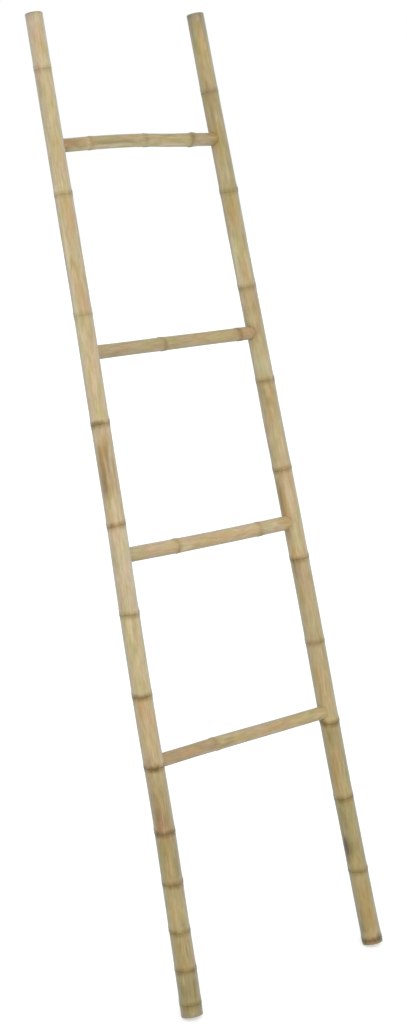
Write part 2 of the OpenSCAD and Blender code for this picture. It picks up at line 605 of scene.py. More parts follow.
class Nodes:
    """A small helper that fills one node tree, of a material or of the world."""

    def __init__(self, owner):
        owner.use_nodes = True
        self.owner = owner
        self.tree = owner.node_tree
        self.tree.nodes.clear()

    def connect(self, socket, value):
        """Links a socket to another one, or gives it a value."""
        if isinstance(value, bpy.types.NodeSocket):
            self.tree.links.new(value, socket)
        elif isinstance(value, str):
            socket.default_value = (*linear(value), 1)
        else:
            socket.default_value = value

    def node(self, kind, inputs, **settings):
        """Adds a node and gives back its outputs."""
        made = self.tree.nodes.new(f"ShaderNode{kind}")
        for key, value in settings.items():
            setattr(made, key, value)
        for key, value in inputs.items():
            self.connect(made.inputs[key], value)
        return made.outputs

    def attribute(self, name, output="Fac"):
        return self.node("Attribute", {}, attribute_name=name)[output]

    def math(self, operation, a, b=0.0):
        return self.node("Math", {0: a, 1: b}, operation=operation)[0]

    def plus(self, a, b):
        return self.math("ADD", a, b)

    def times(self, a, b):
        return self.math("MULTIPLY", a, b)

    def ramp(self, value, low, high, start=0.0, end=1.0):
        """start where value is low, end where it is high, smooth between."""
        inputs = {"Value": value, "From Min": low, "From Max": high, "To Min": start, "To Max": end}
        return self.node("MapRange", inputs, interpolation_type="SMOOTHSTEP")[0]

    def mix(self, factor, a, b, blend="MIX"):
        inputs = {0: factor, 6: a, 7: b}
        return self.node("Mix", inputs, data_type="RGBA", blend_type=blend)[2]

    def cast(self, factor, colour, cast):
        return self.mix(factor, colour, cast, "MULTIPLY")

    def noise(self, place, size, detail=2.0, roughness=0.5):
        """Noise whose features are about as large, in millimetres, as size says for x, y and z."""
        scale = tuple(1000 / s for s in size)
        scaled = self.node("VectorMath", {0: place, 1: scale}, operation="MULTIPLY")[0]
        inputs = {"Vector": scaled, "Scale": 1.0, "Detail": detail, "Roughness": roughness}
        return self.node("TexNoise", inputs)[0]

    def surface(self, colour, roughness, height, relief, specular, bloom):
        """Finishes a material. relief is the bump's height in metres, and bloom is the waxy haze."""
        bump = self.node("Bump", {"Distance": relief, "Height": height})
        inputs = {
            "Base Color": colour,
            "Roughness": roughness,
            "Normal": bump[0],
            "Specular IOR Level": specular,
            "Sheen Weight": bloom,
            "Sheen Roughness": SHEEN_ROUGHNESS,
            "Sheen Tint": SHEEN_TINT,
        }
        shader = self.node("BsdfPrincipled", inputs)
        self.node("OutputMaterial", {"Surface": shader[0]})
        return self.owner


def skin_colour(s, place):
    """Patches, streaks, fibres and flecks over the ground colour of the skin."""
    colour = s.attribute("ground", "Color")
    patch = s.noise(place, (10, 10, 42), detail=3)
    colour = s.cast(s.ramp(patch, 0.50, 0.30, 0, 0.85), colour, OLIVE_CAST)
    colour = s.cast(s.ramp(patch, 0.52, 0.70, 0, 0.7), colour, ROSY_CAST)
    warm = s.noise(place, (8, 8, 46), detail=3)
    colour = s.cast(s.ramp(warm, 0.52, 0.70, 0, 0.6), colour, TAN_CAST)
    colour = s.cast(s.ramp(warm, 0.46, 0.30, 0, 0.5), colour, GREY_CAST)
    mottle = s.noise(place, (4, 4, 24), detail=3)
    colour = s.cast(1.0, colour, s.ramp(mottle, 0.30, 0.70, 0.89, 1.07))
    stain = s.noise(place, (4, 4, 45), detail=3)
    colour = s.cast(s.ramp(stain, 0.56, 0.72, 0, 0.32), colour, STAIN_CAST)
    bleached = s.noise(place, (3, 3, 50))
    colour = s.mix(s.ramp(bleached, 0.58, 0.74, 0, 0.27), colour, PALE)
    fibre = s.noise(place, (0.7, 0.7, 45), detail=3, roughness=0.6)
    colour = s.cast(s.ramp(fibre, 0.35, 0.65, 0.26, 0), colour, FIBRE_CAST)
    fleck = s.noise(place, (1.1, 1.1, 4))
    colour = s.mix(s.ramp(fleck, 0.66, 0.74, 0, 0.5), colour, BROWN)
    scuff = s.noise(place, (1.4, 1.4, 9))
    colour = s.mix(s.ramp(scuff, 0.68, 0.76, 0, 0.35), colour, PALE)
    return colour, fibre


def ring_colour(s, place, colour):
    """The dark scar at a joint, the brown band by it and the stain that spreads from it."""
    waver = s.plus(s.noise(place, (6, 6, 60)), -0.5)
    above = s.plus(s.attribute("ring"), s.times(waver, 2.4))
    scar = s.times(s.attribute("scar"), s.ramp(s.attribute("near"), 14, 18, 1, 0))
    distance = s.math("ABSOLUTE", above)
    halo = s.times(s.ramp(distance, 3, 16, 0.2, 0), scar)
    colour = s.mix(halo, colour, OCHRE)
    uneven = s.ramp(s.noise(place, (15, 15, 30)), 0.38, 0.6, 0.45, 1)
    below = s.math("ABSOLUTE", s.plus(above, 0.4))
    band = s.times(s.times(s.ramp(below, 2, 10.5, 1, 0), uneven), scar)
    colour = s.cast(band, colour, BAND_CAST)
    broken = s.ramp(s.noise(place, (5, 5, 4)), 0.36, 0.58, 0.4, 1)
    line = s.times(s.times(s.ramp(distance, 0.5, 2.1, 0.75, 0), broken), scar)
    colour = s.mix(line, colour, SCAR)
    return colour, line


def stub_colour(s, place, colour):
    """The cut branch above a joint: a dark rim round pale, dotted pith."""
    stub = s.plus(s.attribute("stub"), s.times(s.plus(s.noise(place, (1.5, 1.5, 1.5)), -0.5), 0.5))
    pith = s.mix(s.ramp(s.noise(place, (0.5, 0.5, 0.5)), 0.5, 0.6, 0, 0.7), TAN, BROWN)
    colour = s.mix(s.ramp(stub, 0.9, 0.6, 0, 0.85), colour, pith)
    rim = s.ramp(s.math("ABSOLUTE", s.plus(stub, -1.0)), 0.1, 0.45, 0.7, 0)
    return s.mix(rim, colour, BROWN)


def cut_colour(s, place, depth):
    """Sawn bamboo: dark fibre ends that crowd under the skin, in pale pith."""
    crowd = s.ramp(depth, 0.4, 3.5, 0.40, 0.62)
    ends = s.noise(place, (0.45, 0.45, 9), detail=1)
    dot = s.ramp(s.math("SUBTRACT", ends, crowd), 0, 0.08, 0, 0.75)
    pith = s.mix(s.ramp(depth, 0.4, 4), CUT_RIND, CUT_PITH)
    colour = s.mix(dot, pith, BROWN)
    age = s.noise(place, (5, 5, 12), detail=3)
    return s.mix(s.ramp(age, 0.35, 0.7, 0.1, 0.55), colour, GREY)


def weathered(s, place, colour):
    """Greyed skin in a ragged edge round each sawn end."""
    reach = s.plus(s.attribute("end"), s.times(s.noise(place, (3, 3, 10), detail=3), 8))
    return s.mix(s.ramp(reach, 4, 11, 0.6, 0), colour, GREY)


def bamboo(name, gloss, bloom):
    """Bamboo skin and sawn bamboo in one material, told apart by the depth under the skin."""
    s = Nodes(bpy.data.materials.new(name))
    place = s.attribute("cane", "Vector")
    depth = s.attribute("depth")
    colour, fibre = skin_colour(s, place)
    colour, line = ring_colour(s, place, colour)
    colour = stub_colour(s, place, colour)
    colour = weathered(s, place, colour)
    # Grime with painted shade: a patchy rust-brown darkening round the joints of rungs and rails
    grime_and_shade = s.attribute("grime_and_shade")
    patchy_grime_and_shade = s.times(grime_and_shade, s.ramp(s.noise(place, (3, 3, 4), detail=3), 0.35, 0.6, 0.03, 0.26))
    colour = s.mix(patchy_grime_and_shade, colour, RUST)
    sawn = s.ramp(depth, 0.25, 0.55)
    colour = s.mix(sawn, colour, cut_colour(s, place, depth))

    cloud = s.noise(place, (9, 9, 30), detail=3)
    roughness = s.plus(s.ramp(cloud, 0.3, 0.7, gloss, gloss + 0.16), s.ramp(fibre, 0.3, 0.7, 0.06, 0))
    rough_places = s.math("MAXIMUM", sawn, s.math("MAXIMUM", line, patchy_grime_and_shade))
    roughness = s.math("MAXIMUM", roughness, s.times(rough_places, 0.85))

    pits = s.noise(place, (0.5, 0.5, 0.9))
    kerf = s.noise(place, (0.6, 25, 25))
    height = s.plus(s.times(fibre, 0.5), s.times(cloud, 0.8))
    height = s.plus(height, s.times(s.plus(s.times(pits, 0.8), s.times(kerf, 0.7)), sawn))
    height = s.plus(height, s.times(line, -0.6))
    return s.surface(colour, roughness, height, relief=0.0003, specular=0.5, bloom=bloom)


def peg_bamboo():
    """Split bamboo with its fibres along the peg and darker ends."""
    s = Nodes(bpy.data.materials.new("peg_bamboo"))
    place = s.attribute("cane", "Vector")
    fibre = s.noise(place, (0.5, 0.5, 12), detail=3)
    colour = s.mix(s.ramp(fibre, 0.35, 0.65), SPLIT_DARK, SPLIT_PALE)
    knock = s.noise(place, (1.5, 1.5, 2))
    colour = s.mix(s.ramp(knock, 0.45, 0.7, 0, 0.5), colour, BROWN)
    roughness = s.ramp(fibre, 0.3, 0.7, 0.75, 0.6)
    return s.surface(colour, roughness, fibre, relief=0.0002, specular=0.3, bloom=0.0)


# The marks on each pole, as rows of colour, along, across, length, width and strength, with across and
# strength in hundredths. A later mark lies over an earlier one

LEFT_MARKS = [
    (MUD, 12, -50, 22, 16, 60),
    (MUD, 10, 0, 14, 24, 40),
    (PALE, 9, 10, 4, 4, 40),
    (GREY, 8, 80, 16, 12, 70),
    (GREY, 2, 0, 7, 60, 45),
    (FERN, 19, -35, 9, 12, 50),
    (BROWN, 51, 62, 38, 8, 55),
    (FERN, 60, -50, 50, 14, 35),
    (FERN, 55, 0, 46, 26, 30),
    (PINK, 100, 80, 30, 8, 40),
    (BROWN, 85, 60, 10, 8, 40),
    (OCHRE, 102, 0, 20, 18, 35),
    (FERN, 125, 0, 44, 16, 25),
    (OCHRE, 130, 0, 22, 20, 35),
    (BROWN, 114, 65, 18, 8, 30),
    (BROWN, 176, 40, 22, 7, 50),
    (AMBER, 200, -30, 40, 10, 30),
    (FERN, 236, 0, 18, 20, 25),
    (LILAC, 260, 90, 140, 10, 35),
    (FERN, 300, 62, 110, 10, 60),
    (FERN, 322, -50, 40, 12, 25),
    (RUST, 336, 10, 14, 16, 40),
    (DARK, 349, -65, 9, 8, 65),
    (RUST, 357, -60, 14, 10, 50),
    (DARK, 349, 30, 8, 7, 40),
    (RUST, 370, -10, 40, 22, 65),
    (BROWN, 405, -45, 74, 20, 50),
    (OCHRE, 415, 10, 70, 12, 40),
    (OCHRE, 322, -20, 36, 18, 35),
    (FERN, 395, 60, 70, 14, 35),
    (BROWN, 484, -40, 20, 16, 40),
    (BROWN, 476, 30, 12, 12, 40),
    (DARK, 471, 20, 7, 12, 40),
    (HAY, 530, 30, 60, 10, 50),
    (AMBER, 586, -20, 34, 14, 50),
    (DARK, 607, 0, 7, 22, 30),
    (BROWN, 609, -60, 9, 10, 40),
    (AMBER, 626, 55, 10, 6, 60),
    (HAY, 630, -10, 24, 16, 50),
    (GREEN, 680, -60, 80, 12, 40),
    (PALE, 738, -5, 36, 9, 40),
    (RUST, 738, 30, 40, 6, 40),
    (HAY, 779, 0, 14, 18, 40),
    (GREY, 790, 65, 26, 9, 40),
    (TAN, 808, -60, 40, 9, 45),
    (PINK, 825, 20, 70, 16, 35),
    (GREEN, 880, 0, 50, 12, 30),
    (OLIVE, 872, -62, 54, 10, 50),
    (CREAM, 944, -50, 14, 12, 35),
    (BROWN, 931, -50, 8, 14, 40),
    (PALE, 966, 15, 40, 26, 30),
    (PALE, 941, 65, 22, 8, 40),
    (RUST, 1003, -30, 22, 9, 10),
    (OCHRE, 1048, -34, 92, 15, 60),
    (BROWN, 1048, -47, 82, 9, 55),
    (BROWN, 1036, 33, 60, 5, 45),
    (DARK, 1012, -60, 28, 6, 40),
    (BROWN, 1036, 68, 60, 4, 40),
    (BROWN, 1062, 26, 44, 4, 45),
    (AMBER, 1068, -30, 50, 8, 50),
    (BROWN, 1014, -30, 30, 6, 40),
    (BROWN, 1076, 30, 40, 6, 40),
    (RUST, 1062, -2, 76, 5, 70),
    (AMBER, 1085, -10, 34, 10, 45),
    (CREAM, 1094, -15, 22, 16, 45),
    (BROWN, 1000, -62, 26, 9, 40),
    (BROWN, 1044, 28, 70, 4, 30),
    (PALE, 1040, -10, 50, 2.5, 50),
    (PALE, 1046, 43, 70, 4, 45),
    (LILAC, 1112, -10, 14, 30, 35),
    (PALE, 1112, -65, 60, 8, 45),
    (PALE, 1120, 65, 24, 8, 35),
    (DARK, 1125, -35, 8, 18, 50),
    (STRAW, 1124, 80, 8, 10, 40),
    (YELLOW, 1150, 10, 18, 14, 40),
    (PINK, 1205, 0, 90, 22, 35),
    (PALE, 1212, 0, 60, 24, 25),
    (AMBER, 1290, 10, 60, 12, 30),
    (AMBER, 1385, 10, 84, 16, 30),
    (PALE, 1420, -64, 380, 9, 75),
    (PALE, 1358, -62, 40, 8, 60),
    (PALE, 1278, -62, 50, 8, 40),
    (LILAC, 1390, -80, 90, 12, 25),
    (GREEN, 1450, 40, 50, 12, 35),
    (PALE, 1430, 65, 90, 8, 35),
    (AMBER, 1515, 25, 70, 12, 35),
    (PINK, 1620, 45, 60, 12, 40),
    (YELLOW, 1655, 15, 26, 16, 50),
    (YELLOW, 1735, 10, 100, 12, 40),
    (LILAC, 1745, -60, 130, 12, 40),
    (GREEN, 1815, 80, 50, 8, 40),
    (YELLOW, 1830, -10, 56, 16, 50),
    (AMBER, 1858, 30, 70, 11, 40),
    (LILAC, 1865, -60, 60, 14, 30),
    (GREY, 1894, -60, 12, 22, 50),
    (GREY, 1880, 75, 34, 9, 40),
    (CREAM, 938, 45, 10, 14, 60),
    (MUD, 777, -70, 24, 9, 40),
    (LILAC, 1286, 48, 26, 9, 40),
    (TAN, 1607, 10, 36, 22, 35),
]

RIGHT_MARKS = [
    # Painted shade: a darker stripe down the whole right side of the rail
    (OLIVE, 950, 73, 3800, 6, 35),
    (GREY, 42, -80, 58, 10, 60),
    (DARK, 13, 80, 16, 12, 65),
    (AMBER, 3, 10, 7, 16, 50),
    (PINK, 24, 40, 18, 16, 40),
    (FERN, 35, -50, 8, 8, 50),
    (RUST, 9, 10, 6, 20, 40),
    (OCHRE, 66, 5, 84, 14, 50),
    (OCHRE, 115, 60, 30, 9, 35),
    (BROWN, 40, -60, 32, 7, 35),
    (AMBER, 172, 10, 30, 14, 35),
    (SAND, 174, -30, 24, 9, 50),
    (BROWN, 190, -72, 28, 13, 75),
    (DARK, 209, -75, 31, 16, 92),
    (FERN, 206, -3, 16, 10, 45),
    (BROWN, 265, -40, 50, 12, 30),
    (LILAC, 308, -80, 16, 8, 50),
    (YELLOW, 326, 30, 36, 10, 50),
    (AMBER, 330, -40, 30, 10, 35),
    (AMBER, 378, 10, 50, 12, 35),
    (OCHRE, 362, -32, 44, 12, 45),
    (FERN, 435, 0, 50, 22, 35),
    (YELLOW, 466, 0, 8, 20, 50),
    (OCHRE, 458, -35, 8, 12, 50),
    (OLIVE, 476, -60, 20, 9, 40),
    (DARK, 468, -72, 9, 10, 60),
    (YELLOW, 488, -10, 50, 24, 45),
    (TAN, 522, 5, 44, 18, 60),
    (AMBER, 558, -30, 40, 12, 40),
    (MOSS, 595, 62, 50, 11, 70),
    (GREEN, 655, 0, 30, 26, 35),
    (PINK, 755, 10, 50, 9, 35),
    (BROWN, 774, -62, 40, 13, 55),
    (BROWN, 770, -20, 44, 10, 15),
    (PALE, 806, -65, 20, 8, 30),
    (AMBER, 810, -40, 12, 10, 50),
    (GREEN, 842, 20, 44, 20, 40),
    (OCHRE, 915, -60, 84, 13, 60),
    (BROWN, 920, -80, 60, 10, 50),
    (AMBER, 898, -35, 20, 9, 50),
    # Painted shadow: a grey-brown patch on the rail under the second rung's joint
    (BROWN, 850, -70, 26, 13, 45),
    (PALE, 924, 10, 50, 10, 35),
    (TAN, 955, 35, 20, 10, 40),
    (PINK, 962, 10, 24, 14, 45),
    (YELLOW, 991, -10, 14, 18, 45),
    (PALE, 1035, 10, 60, 5, 25),
    (PALE, 1032, 62, 80, 8, 40),
    (PINK, 1015, 42, 60, 6, 40),
    (STRAW, 1032, -30, 56, 10, 50),
    (AMBER, 1087, 0, 40, 9, 50),
    (CREAM, 1060, -60, 50, 10, 45),
    (BROWN, 1114, -10, 14, 16, 30),
    (AMBER, 1136, 30, 30, 6, 45),
    (MUD, 1142, -62, 36, 10, 50),
    (GREEN, 1190, 5, 40, 24, 60),
    (PALE, 1206, -60, 70, 10, 45),
    (PALE, 1184, 65, 44, 8, 35),
    (CREAM, 1228, -30, 30, 10, 40),
    (RUST, 1262, 0, 30, 16, 50),
    (GREEN, 1240, 62, 32, 9, 45),
    (BROWN, 1236, -60, 22, 10, 35),
    (PINK, 1300, -30, 44, 12, 40),
    (TAN, 1322, 35, 40, 26, 70),
    (OLIVE, 1330, -60, 26, 12, 60),
    (PALE, 1286, -45, 24, 14, 35),
    (PALE, 1385, 64, 80, 8, 40),
    (GREY, 1332, 72, 44, 9, 40),
    (PALE, 1398, -62, 120, 12, 75),
    (PALE, 1412, -30, 40, 8, 40),
    (MOSS, 1345, -25, 8, 22, 50),
    (OLIVE, 1375, 0, 60, 10, 45),
    (AMBER, 1380, 25, 60, 7, 35),
    (AMBER, 1495, 0, 36, 10, 45),
    (OCHRE, 1517, 0, 40, 13, 40),
    (LILAC, 1450, 65, 40, 9, 40),
    (GREY, 1547, -85, 8, 8, 60),
    (GREY, 1547, 85, 8, 8, 60),
    (PALE, 1590, -50, 76, 13, 40),
    (GREEN, 1600, 10, 70, 12, 40),
    (MOSS, 1602, 0, 44, 10, 40),
    (SAND, 1645, -70, 170, 14, 50),
    (OCHRE, 1652, -20, 34, 15, 85),
    (OCHRE, 1618, 10, 40, 8, 35),
    (PALE, 1690, 30, 24, 5, 40),
    (BROWN, 1712, -5, 70, 9, 35),
    (MUD, 1720, 62, 32, 9, 40),
    (RUST, 1752, -15, 26, 6, 60),
    (GREY, 1746, 60, 9, 14, 45),
    (FERN, 1880, -20, 44, 17, 65),
    (GREEN, 1850, -35, 70, 7, 40),
    (AMBER, 1850, 10, 80, 11, 55),
    (GREY, 1870, -80, 60, 11, 50),
    (GREY, 1874, 80, 56, 11, 60),
    (MUD, 1884, 55, 24, 9, 40),
    (GREY, 1892, 0, 16, 60, 50),
    (DARK, 1897, -75, 7, 12, 40),
    (DARK, 1897, 50, 6, 10, 40),
    (PALE, 1889, 20, 10, 4, 35),
    (CREAM, 989, -42, 12, 14, 55),
    (CREAM, 988, 55, 10, 10, 40),
    (MUD, 384, 66, 56, 10, 40),
]

RUNG_1_MARKS = [
    (GREY, -178, 10, 50, 20, 30),
    (AMBER, -145, 20, 60, 10, 35),
    (GREY, -100, 10, 42, 20, 45),
    (BROWN, -84, 50, 10, 10, 35),
    (YELLOW, -66, -10, 24, 18, 45),
    (FERN, -46, -2, 28, 14, 50),
    (MUD, -62, 58, 22, 8, 70),
    (STRAW, -35, -58, 46, 9, 95),
    (PALE, -97, -55, 26, 7, 35),
    (AMBER, -25, 20, 44, 10, 35),
    (PINK, 25, 20, 50, 12, 35),
    (LILAC, 40, -70, 30, 7, 40),
    (AMBER, 80, 10, 80, 7, 30),
    (YELLOW, 145, -10, 60, 14, 40),
    (YELLOW, 200, 0, 40, 34, 50),
    (BROWN, 196, 70, 8, 5, 60),
    # Painted light: a pale stripe down the whole underside of the rung
    (CREAM, 0, 74, 400, 7, 45),
]

RUNG_2_MARKS = [
    (GREEN, -190, 0, 34, 22, 60),
    (PINK, -150, 10, 40, 12, 45),
    (PALE, -120, -40, 60, 6, 30),
    (FERN, -84, 50, 9, 14, 40),
    (PINK, -68, 0, 16, 18, 40),
    (PALE, -70, 60, 26, 10, 90),
    (PALE, 90, -55, 44, 7, 40),
    (PALE, 72, 62, 50, 7, 40),
    (OLIVE, -178, 0, 26, 12, 40),
    (LILAC, -45, -70, 40, 8, 35),
    (YELLOW, -10, 40, 50, 9, 40),
    (PINK, 10, -40, 40, 8, 35),
    (AMBER, 60, 10, 60, 9, 30),
    (PINK, 95, 30, 50, 9, 40),
    (GREEN, 142, 0, 26, 20, 40),
    (PALE, 166, -20, 10, 6, 50),
    (BROWN, 160, 40, 8, 5, 40),
    (TAN, 181, -10, 28, 9, 90),
    (PALE, 180, 62, 20, 6, 50),
    (AMBER, 194, 10, 20, 34, 40),
    (PALE, 150, 10, 34, 26, 25),
    (PALE, 48, -52, 34, 9, 30),
]

RUNG_3_MARKS = [
    (GREY, -150, 0, 100, 26, 25),
    (MOSS, -55, 10, 40, 14, 40),
    (FERN, -31, 20, 9, 22, 40),
    (GREY, 8, 0, 50, 24, 22),
    (AMBER, 54, -10, 14, 8, 50),
    (YELLOW, 100, 10, 60, 9, 50),
    (OLIVE, 76, -50, 60, 9, 50),
    (OLIVE, -12, 58, 32, 8, 45),
    (BROWN, -132, 62, 60, 6, 25),
    (AMBER, 130, 30, 30, 8, 30),
    (RUST, 152, -50, 20, 12, 35),
    (PINK, 176, 0, 20, 20, 35),
    (TAN, 196, 20, 14, 26, 50),
    # Painted shade along the whole top of the rung, and painted light along its whole underside
    (OLIVE, 0, -75, 340, 8, 60),
    (CREAM, 0, 75, 340, 8, 60),
]

RUNG_4_MARKS = [
    (BROWN, -182, 50, 14, 8, 50),
    (RUST, -172, -30, 44, 12, 60),
    (BROWN, -180, 75, 20, 7, 60),
    (BROWN, -180, -72, 22, 6, 60),
    (PALE, -131, 0, 9, 40, 40),
    (PALE, 25, -45, 50, 5, 40),
    (PALE, 66, -50, 60, 5, 35),
    (STRAW, 94, 0, 26, 12, 50),
    (FERN, 124, 0, 8, 40, 40),
    (LILAC, 145, 0, 34, 20, 35),
    (RUST, 176, -80, 40, 9, 80),
    # Painted light: a pale stripe down the whole underside of the rung
    (PALE, 10, 74, 330, 9, 75),
    (PALE, -98, 72, 120, 8, 90),
    (OLIVE, -98, 0, 40, 12, 50),
    (PALE, 66, 55, 80, 7, 50),
    (PALE, -70, 54, 66, 7, 70),
    (FERN, -48, 13, 70, 7, 55),
    (FERN, -94, 13, 44, 7, 50),
    (PALE, -86, 55, 60, 5, 70),
    (SAND, -144, 0, 24, 10, 40),
    # Painted shade: a darker stripe down the whole top of the rung
    (OLIVE, 0, -70, 300, 9, 70),
    (OCHRE, 193, 10, 24, 34, 85),
    (YELLOW, -30, 72, 160, 8, 35),
]

# The rails, described from the foot up

LEFT_RAIL = Cane(
    node="rail_left",
    slot="rail_left_cane",
    seed=1,
    facing=math.radians(-127),
    girth=[(0, 42), (60, 41.8), (160, 40.7), (350, 39.7), (500, 38.7), (700, 38.3), (950, 36.7),
           (1200, 36.2), (1350, 35.9), (1450, 35.4), (1700, 33.9), (1900, 33.7)],
    bow=[(0, -1.4), (80, 0.4), (200, 1.1), (300, 2.6), (360, 3), (450, 2.3), (550, 0.8), (680, 0.7),
         (800, 1.7), (920, 3.3), (1175, 3.6), (1300, 4.1), (1420, 3.4), (1560, 2.5), (1720, 1.4),
         (1900, 0.5)],
    bow_axis=(1, 0, 0),
    joints=[
        Joint(22.5, -0.6, 0.4, 0.58, 0.7),
        Joint(87, -1.1, 0.4, 0.56, 0.7),
        Joint(159, -1.7, 0.5, 0.64, 4),
        Joint(250.2, -0.6, 0.5, 0.68, 2.2),
        Joint(347, -0.7, 0.6, 0.75, 3.3),
        Joint(470.8, -0.9, 0.6, 0.9, 3.3),
        Joint(607, -0.3, 0.6, 0.68, 1.8),
        Joint(762.4, -1.1, 0.5, 0.55, 0.8),
        Joint(930.5, 1.9, 0.5, 0.55, 1.7),
        Joint(1123.3, 0.7, 0.7, 0.64, 0),
        Joint(1329, 0.4, 0.5, 0.25, 2),
        Joint(1557, -0.5, 0.5, 0.4, -0.5),
        Joint(1793, -0.1, 0.4, 0.3, 2.5),
    ],
    tones=[MOSS, MOSS, OLIVE, HAY, OLIVE, KHAKI, SAND, STRAW, CREAM, SAND, STRAW, SAND, STRAW, CREAM],
    marks=as_marks(LEFT_MARKS),
    place=rail_place(LEFT),
)

RIGHT_RAIL = Cane(
    node="rail_right",
    slot="rail_right_cane",
    seed=2,
    facing=math.radians(-132),
    girth=[(0, 41), (20, 40.8), (60, 40.2), (200, 39.3), (430, 39.5), (650, 38.9), (950, 38.6),
           (1050, 38.4), (1200, 37.2), (1450, 36.2), (1700, 35), (1900, 34.3)],
    bow=[(0, -1.7), (60, -0.6), (130, -0.1), (220, 0.7), (330, 1.4), (450, 0.8), (560, -0.8),
         (680, -1.8), (980, -1.6), (1080, -0.7), (1180, -0.9), (1310, -0.5), (1435, 0), (1555, -0.6),
         (1700, 0.1), (1900, -0.3)],
    bow_axis=(-1, 0, 0),
    joints=[
        Joint(8.5, 0, 0.7, 0.9),
        Joint(150.5, -1.3, 0.4, 0.5, 3.5),
        Joint(302.3, -0.2, 0.5, 0.62, 1.7),
        Joint(457.3, -2.1, 0.6, 0.75, 4.5),
        Joint(623, 0.1, 0.5, 0.47, 2.7),
        Joint(794.5, -0.2, 0.5, 0.62, 2.3),
        Joint(976.3, 0.9, 0.6, 0.52, 3.5),
        Joint(1158.3, -0.6, 0.6, 0.45, 0),
        Joint(1348, 0, 0.5, 0.33, 2),
        Joint(1540.5, -0.5, 1.0, 0.33, 1.5),
        Joint(1741, 0, 0.5, 0.3, 2, branch=-9),
    ],
    tones=[MUD, OLIVE, MOSS, OLIVE, KHAKI, KHAKI, SAND, KHAKI, KHAKI, HAY, OLIVE, HAY],
    marks=as_marks(RIGHT_MARKS),
    place=rail_place(RIGHT),
)

RAILS = {LEFT: LEFT_RAIL, RIGHT: RIGHT_RAIL}


def rail_middle(side, height):
    """How far from the ladder's middle a rail's centre is at a height, with the rail's bow."""
    rail = RAILS[side]
    bow = float(curve(rail.bow, height)) * rail.bow_axis[0]
    return side * spacing_at(height) / 2 + bow


def rung(i, facing, girth, bow, joints, tones, marks):
    """Rung i, described from its middle along the ladder's X. bow is how far it rises."""
    height = rung_height(i)
    return Cane(
        node=f"rung_{i}",
        slot="rung_cane",
        seed=2 + i,
        low=rail_middle(LEFT, height) - TENON_REACH,
        high=rail_middle(RIGHT, height) + TENON_REACH,
        wall=RUNG_WALL,
        segments=RUNG_SEGMENTS,
        facing=math.radians(facing),
        girth=girth,
        bow=bow,
        bow_axis=(0, -1, 0),
        joints=joints,
        tones=tones,
        marks=as_marks(marks),
        place=rung_place(i),
        groove=0.2,
    )


RUNGS = [
    rung(
        1,
        facing=-10,
        girth=[(-210, 26.7), (-120, 26.3), (-60, 27.2), (0, 26.9), (120, 26.5), (210, 26.7)],
        bow=[(-205, -0.2), (-68, 0.9), (60, 0.3), (205, 0)],
        joints=[Joint(-76, 5, 0.5, 0.17)],
        tones=[TAN, KHAKI],
        marks=RUNG_1_MARKS,
    ),
    rung(
        2,
        facing=-4,
        girth=[(-210, 28.6), (-100, 28.6), (0, 28.4), (100, 28.5), (210, 28.6)],
        bow=[(-198, 0.8), (-150, 0.1), (-90, -0.9), (0, -1.7), (120, -1.8), (198, -1.4)],
        joints=[Joint(-85.5, 1, 0.6, 0.32), Joint(124, 0.3, 0.5, 0.27)],
        tones=[SAND, SAND, SAND],
        marks=RUNG_2_MARKS,
    ),
    rung(
        3,
        facing=4,
        girth=[(-200, 27), (-120, 26), (-23, 26.6), (60, 25.7), (140, 26), (200, 26.8)],
        bow=[(-191, 0), (0, 0.2), (191, 0)],
        joints=[Joint(-30, 2.6, 0.6, 0.25, -5), Joint(160.5, 1.5, 0.5, 0.45)],
        tones=[KHAKI, KHAKI, TAN],
        marks=RUNG_3_MARKS,
    ),
    rung(
        4,
        facing=12,
        girth=[(-200, 26), (-100, 25.7), (0, 25.6), (100, 26.2), (123, 26.8), (150, 25.8), (200, 25.4)],
        bow=[(-183, 0.9), (-130, 2.8), (-90, 4), (30, 3.8), (60, 2.5), (100, 1.4), (150, 0.8), (183, 0)],
        joints=[
            Joint(-120.5, 0.2, 0.4, 0.15),
            Joint(11.5, 0.3, 0.4, 0.2),
            Joint(124, -2.5, 1.1, 0.4, 3),
        ],
        tones=[TAN, KHAKI, KHAKI, OLIVE],
        marks=RUNG_4_MARKS,
    ),
]


def rung_radius(i):
    """A rung's radius at its ends, where it sits in the rails."""
    return RUNGS[i - 1].girth[0][1] / 2


def end_height(i, side):
    """How high a rung's end is, up the ladder."""
    return rung_height(i) + RUNGS[i - 1].bow[0 if side == LEFT else -1][1]


def plan_joinery():
    """Notes in each cane where its sockets and pegs are, in its own frame."""
    for i in range(1, RUNG_COUNT + 1):
        for side, rail in RAILS.items():
            height = end_height(i, side)
            along = height / math.cos(SPLAY)
            rail.sockets.append((along, -side, rung_radius(i)))
            rail.pegs.append((along, rung_radius(i)))
            rail_radius = float(curve(rail.girth, height)) / 2
            RUNGS[i - 1].pegs.append((rail_middle(side, height), rail_radius))


def rail_cutters(side, rail):
    """The blind sockets, and after them the peg holes from the back."""
    inwards = Matrix.Rotation(side * SPLAY, 3, "Y") @ Vector((-side, 0, 0))
    sockets, holes = [], []
    for along, _, radius in rail.sockets:
        middle = Vector((0, 0, along))
        bottom, mouth = middle - inwards * TENON_REACH, middle + inwards * CUTTER_REACH
        sockets.append(rod(radius + SOCKET_GAP, bottom, mouth, SOCKET_SEGMENTS))
    for along, radius in rail.pegs:
        bottom, mouth = (0, radius - PEG_DEPTH, along), (0, CUTTER_REACH, along)
        holes.append(rod(PEG_HOLE_R, bottom, mouth, HOLE_SEGMENTS))
    return sockets, holes


